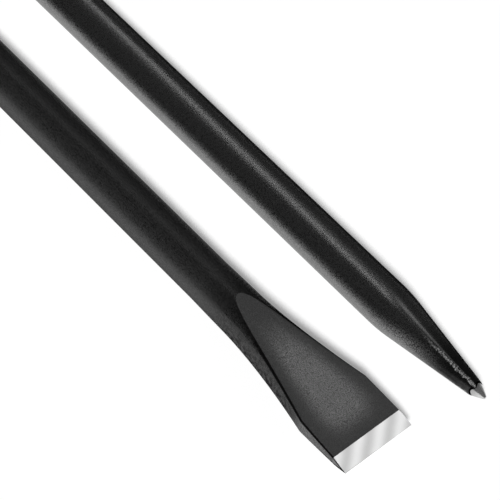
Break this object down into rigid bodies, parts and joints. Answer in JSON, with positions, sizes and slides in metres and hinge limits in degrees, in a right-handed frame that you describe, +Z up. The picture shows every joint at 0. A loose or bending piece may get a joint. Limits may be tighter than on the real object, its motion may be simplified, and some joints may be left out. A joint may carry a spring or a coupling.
{
  "type": "crowbar",
  "caption": "Round forged steel crowbars laid head to tail, each with a flared flat chisel blade at one end and a square point at the other.",
  "frame": {"origin": "middle of the pair in plan, on the plane that the shanks lie on", "axes": "+X along the bars towards the blade of the chisel_forward bar, +Y from the chisel_forward bar to the point_forward bar, +Z up"},
  "size_m": [1.2138, 0.1234, 0.03],
  "materials": {
    "black_coating": "satin black coating, fine grained",
    "ground_steel": "bare ground steel"
  },
  "bodies": {
    "chisel_forward": {"chisel_forward_bar": "black_coating", "chisel_forward_cutting_edge": "ground_steel", "chisel_forward_tip": "ground_steel"},
    "point_forward": {"point_forward_bar": "black_coating", "point_forward_cutting_edge": "ground_steel", "point_forward_tip": "ground_steel"}
  },
  "joints": [
    {"name": "point_forward_lift", "type": "slide", "parent": "chisel_forward", "child": "point_forward", "axis": [0, 0, 1], "range_m": [0, 0.3]}
  ]
}
